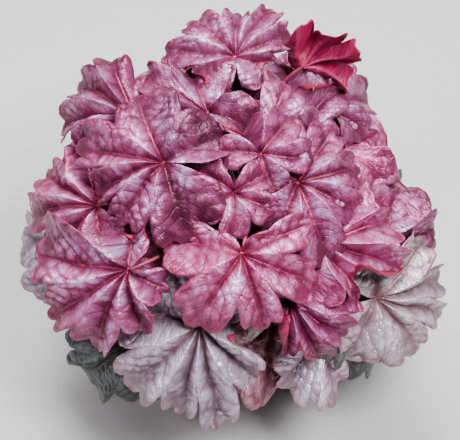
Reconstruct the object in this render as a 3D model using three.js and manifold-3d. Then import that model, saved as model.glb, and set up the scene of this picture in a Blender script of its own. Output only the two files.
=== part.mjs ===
// A potted heuchera: a plastic nursery pot filled with compost, a woody crown seated in it, and a mound
// of lobed, waved leaves, each one body with its stalk.
// Millimetres, +Z up. The origin is the middle of the pot's base, and the mound shows its best side to -Y.
import * as THREE from 'three';
import { mergeVertices } from 'three/addons/utils/BufferGeometryUtils.js';
import Module from 'manifold-3d';

const wasm = await Module();
wasm.setup();

// ---- Driving dimensions ----
const gap = 0.3; // clearance between pieces that touch

const pot = {
  height: 116, baseRadius: 46, rimRadius: 65, wall: 2,
  bandHeight: 15, bandStep: 2, // the stiffer band under the rim
  bevel: 1.5, sides: 32,
  drainHoles: 8, drainRadius: 4.5, drainRing: 34, drainSides: 12,
  colour: '#2b2c30',
};
const soil = { belowRim: 11, swell: 4, sides: 26, colour: '#3a2a20' };
const crown = { radius: 28, height: 17, seatDepth: 10, sides: 22, steps: 5, colour: '#4b3328' };
const stalk = {
  radius: 1.5, sides: 5, steps: 6,
  rootDepth: 4, lowestRoot: 25, rootSpacing: 0.25, // on the crown, in degrees and as a share of its radius
  reach: 0.38, rise: 0.5, // how far it runs on straight at each end, and how it lifts off the crown
  clearance: 3, // between its surface and any blade or other stalk
  bows: [0, 7, -7, 14, -14, 21, -21, 28, -28, 36, -36], // its ways round the others, to the side
  lifts: [0, -8, 8, -16, 16, 24, -24], // and over or under them
  samples: 7, outerShare: 0.12, // the outer part of it that the blades below are bent clear of
};
const blade = {
  thickness: 0.8,
  sinus: 17, // half of the open angle where the stalk joins, degrees
  notch: 0.76, // radius between two lobes, as a share of the lobes beside it
  roundness: 3.2, // how square the shoulders of a lobe are
  tooth: 0.03,
  innerReach: 0.55, // where the inner ring of points lies, as a share of the way to the edge
  clearance: 5, // between a blade and the leaves over it
  leastSlope: 0.5, // cosine of the steepest slope at which its thickness is still made up for
};
const heart = new THREE.Vector3(0, 0, 112); // the leaves radiate from this point inside the crown

const tones = {
  rose: '#b04a72', plum: '#7d3553', lilac: '#b08aa4', silver: '#b9a8b0',
  tan: '#a98f93', greyGreen: '#8b9088', magenta: '#a8285c',
};

// A lobe is its angle from the midrib in degrees, and its length as a share of the leaf's size.
const fiveLobes = [[-122, 0.8], [-60, 0.95], [0, 1], [60, 0.95], [122, 0.8]];
const waves = { droop: 0.2, bowl: 0.08, pleat: 0.078, ripple: 0.055, fold: 0 }; // shares of the size

// Leaves from the top of the mound down. hub is where the stalk joins, facing is the azimuth and elevation
// that the upper side looks to, turn swings the midrib from straight downhill, and size is its length.
const nearLeaves = [
  { name: 'leaf_top', tone: 'lilac', hub: [4, 24, 286], facing: [-86, 62], turn: 178, size: 48,
    lobes: [[-100, 0.62], [-66, 0.9], [-34, 1.02], [-6, 0.82], [45, 0.92], [84, 1.08], [112, 0.72]],
    sinus: 40, notch: 0.8 },
  { name: 'leaf_upright', tone: 'magenta', hub: [54, 18, 282], facing: [70, -20], turn: -140, size: 43,
    lobes: [[-48, 0.85], [-14, 1.05], [20, 1.05], [54, 0.9]], sinus: 100, notch: 0.7, fold: 0.2 },
  { name: 'leaf_left_upper', tone: 'plum', hub: [-47, -69, 273], facing: [-112, 56], turn: -84, size: 62,
    lobes: [[-140, 0.7], [-54, 0.9], [0, 1.1], [28, 0.92], [64, 0.85], [118, 0.9]] },
  { name: 'leaf_top_drooping', tone: 'lilac', hub: [-18, -12, 277], facing: [-104, 54], turn: -48, size: 48,
    lobes: [[-100, 0.85], [-50, 1.1], [-10, 0.9], [32, 0.8], [70, 0.85], [115, 0.8]] },
  { name: 'leaf_heart', tone: 'rose', hub: [3, -93, 270], facing: [-88, 55], turn: -5, size: 32 },
  { name: 'leaf_crown', tone: 'plum', hub: [22, -66, 280], facing: [-80, 60], turn: 135, size: 35 },
  { name: 'leaf_front', tone: 'rose', hub: [8, -130, 246], facing: [-88, 47], turn: 0, size: 59,
    lobes: [[-100, 0.98], [-37, 1.05], [16, 0.92], [65, 0.95], [112, 0.85]], sinus: 48, notch: 0.64 },
  { name: 'leaf_left_lower', tone: 'rose', hub: [-72, -128, 226], facing: [-111, 42], turn: -50, size: 71,
    lobes: [[-105, 0.42], [-30, 1.06], [5, 1.05], [36, 0.97], [72, 0.62], [130, 0.4]] },
  { name: 'leaf_right_centre', tone: 'plum', hub: [50, -78, 264], facing: [-68, 55], turn: 84, size: 47,
    lobes: [[-127, 0.9], [-82, 1.3], [-36, 1], [2, 0.95], [42, 1], [98, 0.95]] },
  { name: 'leaf_right', tone: 'rose', hub: [71, -111, 235], facing: [-66, 45], turn: 82, size: 58,
    lobes: [[-112, 0.8], [-62, 0.7], [-26, 1.12], [8, 0.95], [40, 0.95], [76, 0.83], [118, 0.7]] },
  { name: 'leaf_top_left', tone: 'rose', hub: [-76, -14, 274], facing: [-140, 62], turn: -72, size: 54,
    lobes: [[-128, 0.55], [-84, 0.8], [-43, 0.87], [-5, 1], [32, 1.07], [75, 0.85]] },
  { name: 'leaf_young_left', tone: 'lilac', hub: [-13, -62, 270],
    facing: [-104, 58], turn: -110, size: 32 },
  { name: 'leaf_young_grey', tone: 'lilac', hub: [30, -40, 272], facing: [-73, 60], turn: 150, size: 42 },
  { name: 'leaf_young_plum', tone: 'plum', hub: [-6, -36, 270], facing: [-100, 62], turn: -150, size: 40 },
  { name: 'leaf_top_right', tone: 'lilac', hub: [50, -26, 276], facing: [-60, 60], turn: 160, size: 46 },
  { name: 'leaf_top_back', tone: 'plum', hub: [18, -12, 266], facing: [-70, 62], turn: 175, size: 40 },
  { name: 'leaf_right_top', tone: 'lilac', hub: [74, 0, 260], facing: [-46, 58], turn: 132, size: 42 },
  { name: 'leaf_right_upper', tone: 'rose', hub: [82, -32, 255], facing: [-50, 58], turn: 80, size: 48 },
  { name: 'leaf_magenta', tone: 'magenta', hub: [44, -140, 204], facing: [-78, 38], turn: 25, size: 52,
    lobes: [[-100, 0.6], [-40, 0.8], [-8, 1.08], [22, 0.94], [60, 0.95], [110, 0.6]] },
  { name: 'leaf_left', tone: 'rose', hub: [-96, -72, 230], facing: [-124, 49], turn: -80, size: 56,
    lobes: [[-110, 0.7], [-52, 0.95], [-12, 1], [18, 1.05], [60, 0.85], [115, 0.6]] },
  { name: 'leaf_left_inner', tone: 'magenta', hub: [-81, -106, 214],
    facing: [-118, 41], turn: -127, size: 36 },
  { name: 'leaf_right_far', tone: 'rose', hub: [96, -54, 238], facing: [-46, 50], turn: 84, size: 42 },
  { name: 'leaf_bottom', tone: 'silver', hub: [-21, -147, 187], facing: [-95, 37], turn: -3, size: 76,
    lobes: [[-84, 0.78], [-40, 1], [-8, 0.95], [14, 1.12], [48, 0.75], [95, 0.42]] },
  { name: 'leaf_right_lower', tone: 'tan', hub: [107, -105, 164], facing: [-62, 34], turn: 60, size: 66,
    lobes: [[-100, 0.7], [-34, 0.97], [-6, 1.07], [20, 0.96], [52, 0.87], [105, 0.7]] },
  { name: 'leaf_right_edge', tone: 'plum', hub: [119, -79, 190], facing: [-51, 39], turn: 76, size: 53 },
  { name: 'leaf_olive', tone: 'greyGreen', hub: [85, -112, 166], facing: [-64, 32], turn: 7, size: 55 },
  { name: 'leaf_bottom_right', tone: 'silver', hub: [80, -133, 139],
    facing: [-73, 30], turn: -2, size: 55 },
  { name: 'leaf_bottom_dark', tone: 'plum', hub: [38, -136, 158], facing: [-84, 34], turn: -8, size: 66 },
  { name: 'leaf_left_violet', tone: 'lilac', hub: [-89, -78, 208],
    facing: [-127, 44], turn: -42, size: 34 },
  { name: 'leaf_right_grey', tone: 'greyGreen', hub: [106, -48, 208],
    facing: [-40, 45], turn: 67, size: 42 },
  { name: 'leaf_left_grey', tone: 'silver', hub: [-116, -70, 177],
    facing: [-125, 40], turn: -75, size: 56 },
  { name: 'leaf_under_left', tone: 'plum', hub: [-42, -120, 186], facing: [-101, 38], turn: -47, size: 40 },
  { name: 'leaf_bottom_left', tone: 'greyGreen', hub: [-79, -116, 119],
    facing: [-111, 24], turn: -33, size: 56 },
  { name: 'leaf_bottom_pale', tone: 'greyGreen', hub: [99, -103, 126],
    facing: [-63, 26], turn: 23, size: 48 },
];
// Rows of leaves that close the mound's far side: azimuths in degrees, from and to.
const farRows = [
  { name: 'leaf_far_top', count: 2, from: 84, to: 136, radius: 50, height: 248, rise: 62, size: 48,
    tones: ['lilac', 'rose'] },
  { name: 'leaf_far_upper', count: 4, from: 28, to: 158, radius: 96, height: 210, rise: 45, size: 56,
    tones: ['rose', 'plum'] },
  { name: 'leaf_far_lower', count: 6, from: 2, to: 178, radius: 116, height: 150, rise: 26, size: 60,
    tones: ['silver', 'plum', 'tan'] },
];

// ---- Vectors ----
const radians = THREE.MathUtils.degToRad;
const mix = THREE.MathUtils.lerp;
const up = new THREE.Vector3(0, 0, 1);

function direction(azimuth, elevation) {
  const [a, e] = [radians(azimuth), radians(elevation)];
  return new THREE.Vector3(Math.cos(e) * Math.cos(a), Math.cos(e) * Math.sin(a), Math.sin(e));
}

// ---- Solids ----
function meshOf(geometry) {
  const bare = new THREE.BufferGeometry().setAttribute('position', geometry.getAttribute('position'));
  if (geometry.index) bare.setIndex(geometry.index);
  const merged = mergeVertices(bare, 1e-3);
  return new wasm.Mesh({
    numProp: 3,
    vertProperties: merged.attributes.position.array,
    triVerts: new Uint32Array(merged.index.array),
  });
}

const solidOf = (geometry) => new wasm.Manifold(meshOf(geometry));

function geometryOf(solid) {
  const { vertProperties, triVerts } = solid.getMesh();
  const geometry = new THREE.BufferGeometry();
  geometry.setAttribute('position', new THREE.BufferAttribute(new Float32Array(vertProperties), 3));
  geometry.setIndex(new THREE.BufferAttribute(new Uint32Array(triVerts), 1));
  return geometry;
}

function piece(name, solid, colour, roughness) {
  const geometry = geometryOf(solid).toNonIndexed();
  geometry.computeVertexNormals();
  const material = new THREE.MeshStandardMaterial({ color: colour, roughness, metalness: 0 });
  const mesh = new THREE.Mesh(geometry, material);
  mesh.name = name;
  return mesh;
}

// A solid of revolution about Z from [radius, height] points that start and end on the axis.
function turned(profile, sides) {
  const points = profile.map(([radius, height]) => new THREE.Vector2(radius, height));
  return solidOf(new THREE.LatheGeometry(points, sides).rotateX(Math.PI / 2));
}

// ---- Pot, compost and crown ----
function potSolid() {
  const { height, baseRadius, rimRadius, wall, bandHeight, bandStep, bevel, sides } = pot;
  const wallTop = rimRadius - bandStep;
  let solid = turned([
    [0, 0], [baseRadius - bevel, 0], [baseRadius, bevel],
    [wallTop - bevel, height - bandHeight - bevel], [rimRadius - bevel, height - bandHeight],
    [rimRadius, height - bevel], [rimRadius - bevel / 2, height], [wallTop - bevel, height],
    [wallTop - wall, height - bevel], [baseRadius - wall, wall], [0, wall],
  ], sides);
  for (let i = 0; i < pot.drainHoles; i++) {
    const hole = new THREE.CylinderGeometry(pot.drainRadius, pot.drainRadius, 4 * wall, pot.drainSides);
    const { x, y } = direction((360 * i) / pot.drainHoles, 0).multiplyScalar(pot.drainRing);
    solid = solid.subtract(solidOf(hole.rotateX(Math.PI / 2).translate(x, y, 0)));
  }
  return solid;
}

const soilHeight = pot.height - soil.belowRim;
const soilTop = soilHeight + soil.swell; // where the compost meets the crown
const crownSeat = soilTop - crown.seatDepth;

function soilSolid() {
  const slope = (pot.rimRadius - pot.bandStep - pot.baseRadius) / (pot.height - pot.bevel - pot.wall);
  const inside = (height) => pot.baseRadius - pot.wall + slope * (height - pot.wall) - 2 * gap;
  const floor = pot.wall + gap;
  return turned([
    [0, floor], [inside(floor), floor], [inside(soilHeight), soilHeight],
    [crown.radius + soil.swell, soilTop], [crown.radius + gap, soilTop],
    [crown.radius + gap, crownSeat - gap], [0, crownSeat - gap],
  ], soil.sides);
}

// The crown's dome, as a point of the unit sphere carried onto it, and the outward normal there.
function onCrown(unit) {
  const reach = new THREE.Vector3(crown.radius, crown.radius, crown.height);
  const point = unit.clone().multiply(reach).addScaledVector(up, soilTop);
  return { point, normal: unit.clone().divide(reach).normalize() };
}

function crownSolid(stalks) {
  const profile = [[0, crownSeat], [crown.radius, crownSeat]];
  for (let i = 0; i <= crown.steps; i++) {
    const angle = (i * Math.PI) / 2 / crown.steps;
    const radius = i < crown.steps ? crown.radius * Math.cos(angle) : 0;
    profile.push([radius, soilTop + crown.height * Math.sin(angle)]);
  }
  const socketRadius = (stalk.radius + gap) / Math.cos(Math.PI / stalk.sides);
  let solid = turned(profile, crown.sides);
  for (const curve of stalks) {
    const [from, to] = [curve.v0, curve.getPointAt(1 / stalk.steps)];
    const along = to.clone().sub(from).normalize();
    const socket = new THREE.LineCurve3(from.clone().addScaledVector(along, -gap), to);
    solid = solid.subtract(rod(socket, socketRadius, 1));
  }
  return solid;
}

// ---- Leaves ----
function rod(curve, radius, steps) {
  const section = new THREE.Shape();
  for (let i = 0; i < stalk.sides; i++) {
    const angle = (2 * Math.PI * i) / stalk.sides;
    section[i ? 'lineTo' : 'moveTo'](radius * Math.cos(angle), radius * Math.sin(angle));
  }
  return solidOf(new THREE.ExtrudeGeometry(section, { steps, extrudePath: curve }));
}

// The outline of a leaf as [angle, radius, place across its lobe from -1 to 1]: radians and shares of size.
function outlineOf({ lobes = fiveLobes, sinus = blade.sinus, notch = blade.notch }) {
  const outline = [];
  lobes.forEach(([angle, length], i) => {
    // The notch on one side of the lobe: halfway to the next lobe, or at the open angle's edge.
    const notchBy = (next, end) => (next
      ? { edge: (next[0] + angle) / 2, radius: (notch * (next[1] + length)) / 2 }
      : { edge: end, radius: notch * length });
    const before = notchBy(lobes[i - 1], sinus - 180);
    const after = notchBy(lobes[i + 1], 180 - sinus);
    const last = i === lobes.length - 1 ? 3 : 2;
    for (let k = -3; k <= last; k++) {
      const place = k / 3;
      const side = place < 0 ? before : after;
      const share = Math.abs(place);
      const tooth = blade.tooth * Math.cos(3 * Math.PI * place);
      const radius = mix(length, side.radius, share ** blade.roundness) + tooth;
      outline.push([radians(mix(angle, side.edge, share)), radius, place]);
    }
  });
  return outline;
}

// How far a leaf stands off its plane, in shares of its size: a bowl round the stalk, a droop toward the
// edge, pleats along the lobes and ripples round the edge.
function reliefAt({ bowl, droop, pleat, ripple, fold }, seed, angle, radius, place, reach) {
  const bowlRise = bowl * (1 - Math.exp(-radius / 0.2));
  const pleats = pleat * reach ** 1.5 * -Math.cos(Math.PI * place);
  const ripples = ripple * reach ** 2 * Math.sin(4 * angle + seed);
  return bowlRise - droop * radius ** 2 + pleats + ripples + fold * radius * Math.abs(Math.sin(angle));
}

// The middle surface of a leaf: its points, triangles and edge loop, all measured from the heart.
function bladeOf(leaf, seed) {
  const normal = direction(...leaf.facing);
  const down = normal.clone().multiplyScalar(normal.z).sub(up).normalize();
  const across = new THREE.Vector3().crossVectors(normal, down);
  const midrib = down.clone().multiplyScalar(Math.cos(radians(leaf.turn)))
    .addScaledVector(across, Math.sin(radians(leaf.turn)));
  const cross = new THREE.Vector3().crossVectors(normal, midrib);
  const hub = new THREE.Vector3(...leaf.hub).sub(heart);
  const outline = outlineOf(leaf);
  const shape = { ...waves, ...leaf };
  const pointAt = ([angle, length, place], reach) => {
    const radius = reach * length;
    return hub.clone()
      .addScaledVector(midrib, leaf.size * radius * Math.cos(angle))
      .addScaledVector(cross, leaf.size * radius * Math.sin(angle))
      .addScaledVector(normal, leaf.size * reliefAt(shape, seed, angle, radius, place, reach));
  };
  // The inner ring has a point on each lobe's axis and in each notch, and the edge has every point.
  const inner = outline.filter((_, i) => i % 3 === 0);
  const innerPoints = inner.map((at) => pointAt(at, blade.innerReach));
  const points = [hub, ...innerPoints, ...outline.map((at) => pointAt(at, 1))];
  const edge = inner.length + 1;
  const triangles = [];
  for (let i = 1; i < inner.length; i++) {
    const first = edge + 3 * (i - 1);
    triangles.push([0, i, i + 1], [i, first, first + 1], [i, first + 1, i + 1]);
    triangles.push([i + 1, first + 1, first + 2], [i + 1, first + 2, first + 3]);
  }
  const loop = [0, 1, ...outline.map((_, i) => edge + i), inner.length];
  return { leaf, points, triangles, spots: spotsOf(triangles), loop, normal, midrib };
}

// The places where a blade is tested: its points, and the middles of its triangles and of their sides.
const spotsOf = (triangles) => triangles
  .flatMap(([a, b, c]) => [[a], [b], [c], [a, b], [b, c], [c, a], [a, b, c]]);

const middleOf = (points, corners) => corners
  .reduce((sum, corner) => sum.add(points[corner]), new THREE.Vector3()).divideScalar(corners.length);

// The cone from the heart through a triangle, ready for many tests.
function coneOf(points, corners) {
  const [a, b, c] = corners.map((corner) => points[corner]);
  const walls = [[b, c], [c, a], [a, b]].map(([from, to]) => new THREE.Vector3().crossVectors(from, to));
  return { corners, walls, volume: a.dot(walls[0]) };
}

// How many times farther from the heart a spot would have to be to meet the cone's triangle.
function timesToMeet(spot, { walls, volume }) {
  let sum = 0;
  for (const wall of walls) {
    const share = spot.dot(wall) / volume;
    if (share < 0) return Infinity;
    sum += share;
  }
  return 1 / sum;
}

// Bends a blade clear beneath the leaves already placed, by drawing in to the heart what lies outside them.
function bendClear({ points, triangles, spots }, placed) {
  const keep = points.map(() => 1); // what is left of each point's distance from the heart
  const drawIn = (corners, share) => {
    for (const corner of corners) keep[corner] = Math.min(keep[corner], share);
  };
  const own = triangles.map((corners) => coneOf(points, corners));
  for (const other of placed) {
    for (const corners of spots) {
      const spot = middleOf(points, corners);
      const clearance = blade.clearance / spot.length();
      for (const cone of other.cones) drawIn(corners, timesToMeet(spot, cone) - clearance);
    }
    for (const { spot, clearance } of other.probes) {
      const room = 1 - clearance / spot.length();
      for (const cone of own) {
        const times = timesToMeet(spot, cone);
        if (times < Infinity) drawIn(cone.corners, room / times);
      }
    }
  }
  points.forEach((point, i) => point.multiplyScalar(keep[i]));
}

// Spreads the stalks' roots over the crown, each on its leaf's own side of it.
function rootsOf(blades) {
  const lowest = Math.sin(radians(stalk.lowestRoot));
  const roots = blades.map(({ points }) => {
    const root = points[0].clone().normalize();
    root.z = mix(lowest, 1, (root.z + 1) / 2);
    return root.normalize();
  });
  for (let pass = 0; pass < 200; pass++) {
    roots.forEach((a, i) => roots.slice(i + 1).forEach((b) => {
      const apart = a.clone().sub(b);
      const short = stalk.rootSpacing - apart.length();
      if (short <= 0) return;
      apart.setLength(short / 2);
      a.add(apart);
      b.sub(apart);
    }));
    for (const root of roots) {
      root.z = Math.max(root.z, lowest);
      root.normalize();
    }
  }
  return roots;
}

function stalkCurve({ points, normal, midrib }, root, bow = 0, lift = 0) {
  const { point, normal: outward } = onCrown(root);
  const start = point.clone().addScaledVector(outward, -stalk.rootDepth);
  const end = points[0].clone().add(heart);
  const length = start.distanceTo(end);
  const leaving = outward.clone().addScaledVector(up, stalk.rise).normalize();
  const arriving = midrib.clone().addScaledVector(normal, 0.5).normalize();
  const aside = new THREE.Vector3().crossVectors(up, end.clone().sub(start)).setLength(bow);
  aside.addScaledVector(up, lift);
  return new THREE.CubicBezierCurve3(
    start,
    start.clone().addScaledVector(leaving, stalk.reach * length).addScaledVector(aside, 0.6),
    end.clone().addScaledVector(arriving, -0.7 * stalk.reach * length).add(aside),
    end,
  );
}

// Points along the straight runs that a stalk's tube is made of.
function axisOf(curve) {
  const joints = curve.getSpacedPoints(stalk.steps);
  return joints.flatMap((joint, i) => (i === stalk.steps ? [joint] : [...Array(stalk.samples).keys()]
    .map((k) => joint.clone().lerp(joints[i + 1], k / stalk.samples))));
}

// The least room between a stalk's axis and the other leaves' blades and the stalks already led.
function roomAround(axis, own, blades, led) {
  let room = Infinity;
  const nearest = new THREE.Vector3();
  const free = axis.slice(2); // the root stands in the crown
  for (const other of blades) {
    if (other === own) continue;
    for (const point of free) {
      if (point.distanceTo(other.centre) > other.reach + stalk.clearance) continue;
      for (const triangle of other.faces) {
        triangle.closestPointToPoint(point, nearest);
        room = Math.min(room, nearest.distanceTo(point) - stalk.radius - blade.thickness / 2);
      }
    }
  }
  for (const other of led) {
    for (const point of free) {
      for (const place of other) room = Math.min(room, place.distanceTo(point) - 2 * stalk.radius);
    }
  }
  return room;
}

// Leads each stalk from the crown to its blade by the straightest way that is clear.
function leadStalks(blades, roots) {
  const led = [];
  for (const made of blades) {
    made.faces = made.triangles.map((corners) => new THREE.Triangle(
      ...corners.map((corner) => made.points[corner].clone().add(heart))));
    made.centre = made.points[0].clone().add(heart);
    made.reach = Math.max(...made.points.map((point) => point.distanceTo(made.points[0])));
  }
  blades.forEach((made, i) => {
    let best = { room: -Infinity };
    for (const lift of stalk.lifts) {
      for (const bow of stalk.bows) {
        if (best.room >= stalk.clearance) continue;
        const curve = stalkCurve(made, roots[i], bow, lift);
        const axis = axisOf(curve);
        const room = roomAround(axis, made, blades, led);
        if (room > best.room) best = { room, curve, axis };
      }
    }
    made.stalk = best.curve;
    led.push(best.axis);
  });
}

// The blade's two faces stand apart along the rays from the heart, so that folds never cross, or along the
// leaf's own normal where it stands edge on to the rays.
function leafSolid({ points, triangles, loop, normal, stalk: curve }) {
  const middle = new THREE.BufferGeometry().setFromPoints(points);
  middle.setIndex(triangles.flat());
  middle.computeVertexNormals();
  const slopes = middle.getAttribute('normal');
  const edgeOn = points[0].clone().normalize().dot(normal) < blade.leastSlope;
  const face = (side) => points.map((point, i) => {
    const ray = edgeOn ? normal : point.clone().normalize();
    const slope = Math.abs(new THREE.Vector3().fromBufferAttribute(slopes, i).dot(ray));
    const apart = blade.thickness / Math.max(slope, blade.leastSlope);
    return point.clone().addScaledVector(ray, (side * apart) / 2).add(heart);
  });
  const count = points.length;
  const indices = triangles.flatMap(([a, b, c]) => [a, b, c, count + a, count + c, count + b]);
  loop.forEach((a, i) => {
    const b = loop[(i + 1) % loop.length];
    indices.push(a, count + a, b, b, count + a, count + b);
  });
  const shell = new THREE.BufferGeometry().setFromPoints([...face(1), ...face(-1)]);
  shell.setIndex(indices);
  return solidOf(shell).add(rod(curve, stalk.radius, stalk.steps));
}

function farLeaves() {
  return farRows.flatMap((row) => [...Array(row.count).keys()].map((i) => {
    const azimuth = mix(row.from, row.to, i / (row.count - 1));
    const outward = direction(azimuth, 0);
    return {
      name: `${row.name}_${i + 1}`, tone: row.tones[i % row.tones.length],
      hub: [outward.x * row.radius, outward.y * row.radius, row.height + 10 * Math.sin(2 * i)],
      facing: [azimuth, row.rise], turn: 25 * Math.sin(3 * i), size: row.size,
    };
  }));
}

// ---- The plant ----
const leaves = [...nearLeaves, ...farLeaves()];
const blades = leaves.map((leaf, i) => bladeOf(leaf, i));
const roots = rootsOf(blades);
const placed = [];
blades.forEach((made, i) => {
  bendClear(made, placed);
  made.cones = made.triangles.map((corners) => coneOf(made.points, corners));
  const axis = axisOf(stalkCurve(made, roots[i]));
  const outerPart = axis.slice(Math.ceil(axis.length * (1 - stalk.outerShare)));
  made.probes = [
    ...made.spots.map((corners) => ({ spot: middleOf(made.points, corners), clearance: blade.clearance })),
    ...outerPart.map((point) => ({ spot: point.sub(heart), clearance: blade.clearance + stalk.radius })),
  ];
  placed.push(made);
});
leadStalks(blades, roots);

const plant = new THREE.Group();
plant.add(piece('pot', potSolid(), pot.colour, 0.5));
plant.add(piece('soil', soilSolid(), soil.colour, 1));
plant.add(piece('crown', crownSolid(blades.map((made) => made.stalk)), crown.colour, 0.9));
for (const made of blades) plant.add(piece(made.leaf.name, leafSolid(made), tones[made.leaf.tone], 0.45));

export default plant;
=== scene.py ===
import math
import random

import bpy
import numpy as np
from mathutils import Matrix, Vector, noise


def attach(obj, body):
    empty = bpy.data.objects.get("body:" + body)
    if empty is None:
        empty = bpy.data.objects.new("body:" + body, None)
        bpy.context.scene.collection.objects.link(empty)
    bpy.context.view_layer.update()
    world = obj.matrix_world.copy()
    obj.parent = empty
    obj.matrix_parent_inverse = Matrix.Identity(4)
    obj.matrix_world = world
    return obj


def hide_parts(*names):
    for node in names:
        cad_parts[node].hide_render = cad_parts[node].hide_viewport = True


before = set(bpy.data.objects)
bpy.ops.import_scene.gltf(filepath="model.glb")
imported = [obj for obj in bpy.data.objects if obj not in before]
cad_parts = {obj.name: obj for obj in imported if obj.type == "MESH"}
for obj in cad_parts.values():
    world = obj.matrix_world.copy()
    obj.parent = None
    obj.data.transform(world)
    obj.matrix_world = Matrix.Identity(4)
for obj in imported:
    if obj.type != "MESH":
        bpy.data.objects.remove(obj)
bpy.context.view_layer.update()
mm = 0.001

# what the whole plant shares
plant = {
    "heart": (0, 0, 112),      # the leaves radiate from this point inside the crown, mm
    "soilTop": 109,            # where the compost meets the crown
    "crownRadius": 28,
    "crownHeight": 17,
    "gap": 0.3,                # between the crown and the hole in the compost
}
heart = np.array(plant["heart"], float)


def selectNone():
    bpy.ops.object.select_all(action="DESELECT")


def selectOnly(*pieces):
    selectNone()
    for piece in pieces:
        piece.select_set(True)
    bpy.context.view_layer.objects.active = pieces[-1]


def editAll(piece):
    selectOnly(piece)
    bpy.ops.object.mode_set(mode="EDIT")
    bpy.ops.mesh.select_all(action="SELECT")


def leaveEdit():
    bpy.ops.object.mode_set(mode="OBJECT")


def applyAll(piece):
    selectOnly(piece)
    for modifier in list(piece.modifiers):
        bpy.ops.object.modifier_apply(modifier=modifier.name)


def settle(piece):
    # the place, turn and size go into the mesh
    selectOnly(piece)
    bpy.ops.object.transform_apply(location=True, rotation=True, scale=True)


def joined(*pieces):
    # all of them in one mesh, which is the last one's
    selectOnly(*pieces)
    bpy.ops.object.join()
    settle(pieces[-1])
    return pieces[-1]


def twinOf(piece):
    twin = piece.copy()
    twin.data = piece.data.copy()
    bpy.context.collection.objects.link(twin)
    return twin


def pointsOf(piece):
    points = np.empty(len(piece.data.vertices) * 3)
    piece.data.vertices.foreach_get("co", points)
    return points.reshape(-1, 3)


def movePoints(piece, points):
    piece.data.vertices.foreach_set("co", np.asarray(points, float).ravel())
    piece.data.update()


def keepOn(piece, name, values):
    # a value or a vector that the materials read at each point
    values = np.asarray(values, float)
    kind, field = ("FLOAT", "value") if values.ndim == 1 else ("FLOAT_VECTOR", "vector")
    piece.data.attributes.new(name, kind, "POINT").data.foreach_set(field, values.ravel())


def colour(code):
    # "#b04a72" as the linear colour that a shader takes
    parts = [int(code[i:i + 2], 16) / 255 for i in (1, 3, 5)]
    return [*(c / 12.92 if c < 0.04045 else ((c + 0.055) / 1.055) ** 2.4 for c in parts), 1]


class Wiring:
    # one material, and short ways to add and join its nodes

    def __init__(self, name):
        self.material = bpy.data.materials.new(name)
        self.material.use_nodes = True
        self.nodes = self.material.node_tree.nodes
        self.links = self.material.node_tree.links
        self.surface = self.nodes["Principled BSDF"]

    def join(self, value, socket):
        if isinstance(value, bpy.types.NodeSocket):
            self.links.new(value, socket)
        elif value is not None:
            socket.default_value = value

    def add(self, kind, settings=None, **inputs):
        node = self.nodes.new("ShaderNode" + kind)
        for name, value in (settings or {}).items():
            setattr(node, name, value)
        for name, value in inputs.items():
            self.join(value, node.inputs[name.replace("_", " ")])
        return node

    def maths(self, operation, *values):
        node = self.add("Math", {"operation": operation})
        for value, socket in zip(values, node.inputs):
            self.join(value, socket)
        return node.outputs[0]

    def times(self, a, b):
        return self.maths("MULTIPLY", a, b)

    def scaled(self, value, by, plus):
        return self.maths("MULTIPLY_ADD", value, by, plus)

    def blend(self, share, a, b, way="MIX"):
        node = self.add("Mix", {"data_type": "RGBA", "blend_type": way, "clamp_factor": True})
        self.join(share, node.inputs[0])
        self.join(a, node.inputs[6])
        self.join(b, node.inputs[7])
        return node.outputs[2]

    def step(self, value, low, high, start=0.0, end=1.0):
        # start below low, end above high, and smooth between them
        node = self.add("MapRange", {"interpolation_type": "SMOOTHSTEP"}, Value=value)
        for name, at in (("From Min", low), ("From Max", high), ("To Min", start), ("To Max", end)):
            node.inputs[name].default_value = at
        return node.outputs[0]

    def kept(self, name, part="Vector"):
        return self.add("Attribute", {"attribute_name": name}).outputs[part]

    def split(self, vector):
        return self.add("SeparateXYZ", Vector=vector).outputs

    def place(self):
        return self.add("TexCoord").outputs["Object"]

    def grain(self, where, scale, detail=2.0, roughness=0.5):
        node = self.add("TexNoise", Vector=where)
        node.inputs["Scale"].default_value = scale
        node.inputs["Detail"].default_value = detail
        node.inputs["Roughness"].default_value = roughness
        return node.outputs[0]

    def cells(self, where, scale, feature="F1"):
        node = self.add("TexVoronoi", {"feature": feature}, Vector=where)
        node.inputs["Scale"].default_value = scale
        return node.outputs[0]

    def bump(self, height, distance, strength=1.0):
        node = self.add("Bump", Height=height)
        node.inputs["Distance"].default_value = distance
        node.inputs["Strength"].default_value = strength
        return node.outputs[0]

    def finish(self, base, roughness, normal=None, **fixed):
        self.join(base, self.surface.inputs["Base Color"])
        self.join(roughness, self.surface.inputs["Roughness"])
        self.join(normal, self.surface.inputs["Normal"])
        for name, value in fixed.items():
            self.surface.inputs[name.replace("_", " ")].default_value = value
        return self.material


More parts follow.
